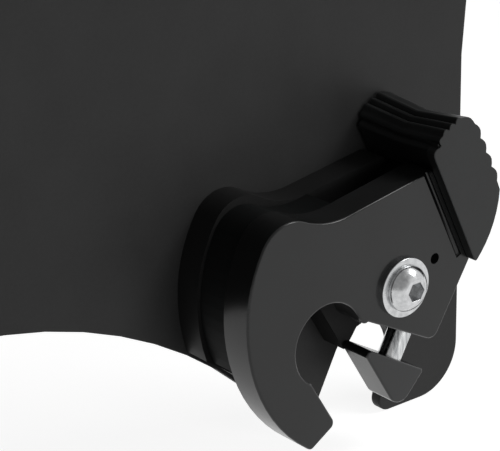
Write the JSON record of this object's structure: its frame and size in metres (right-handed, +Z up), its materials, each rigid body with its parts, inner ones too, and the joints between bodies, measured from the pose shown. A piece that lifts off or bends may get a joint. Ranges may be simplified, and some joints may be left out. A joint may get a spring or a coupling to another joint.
{
  "type": "docking side plate with rotary latch",
  "caption": "Flat steel docking side plate with a two-shell hook latch; a ridged thumb lever turns a sprung gate across the throat to lock it round a docking post.",
  "frame": {"origin": "axis of the docking post in the hook's notch, at the side plate's inner face", "axes": "+X to the rear along the plate, +Y outwards through the plate, +Z up as mounted"},
  "size_m": [0.2963, 0.0315, 0.1546],
  "materials": {
    "plate_coat": "satin black powder coat on flat steel sheet",
    "shell_coat": "satin black powder coat on machined steel",
    "pad_coat": "satin black powder coat on cast steel",
    "gate_coat": "satin black coat on hardened steel",
    "arm_steel": "black oxide on hardened steel",
    "bright_pin": "polished stainless steel",
    "bright_screw": "bright chrome plating",
    "zinc": "zinc-plated steel",
    "black_screw": "black zinc plating on steel",
    "spring_steel": "plain drawn spring steel",
    "bronze": "sintered bronze",
    "nylon": "natural nylon"
  },
  "bodies": {
    "body": {"side_plate": "plate_coat", "rear_shell": "shell_coat", "front_shell": "shell_coat", "shell_spacer": "shell_coat", "shell_screws": "black_screw", "stop_pin": "zinc", "pivot_screw": "bright_screw", "pivot_washer": "bright_screw", "pivot_sleeve": "zinc", "pivot_nut": "zinc", "front_thrust_washer": "nylon", "rear_thrust_washer": "nylon", "detent_spring": "spring_steel", "detent_ball": "bright_pin"},
    "lever": {"lever_arm": "arm_steel", "lever_bush": "bronze", "thumb_pad": "pad_coat", "pad_pins": "zinc", "gate_spring": "spring_steel"},
    "gate": {"gate_block": "gate_coat", "guide_pin": "bright_pin", "cross_pin": "zinc"}
  },
  "joints": [
    {"name": "lever_turn", "type": "hinge", "parent": "body", "child": "lever", "pos_m": [0.021, -0.0115, 0.0078], "axis": [0, 1, 0], "range_deg": [0, 36]},
    {"name": "gate_slide", "type": "slide", "parent": "lever", "child": "gate", "axis": [0.503, 0, 0.8643], "range_m": [0, 0.003], "stiffness_N_per_m": 400, "springref_m": -0.004, "deforming": ["gate_spring"]}
  ]
}
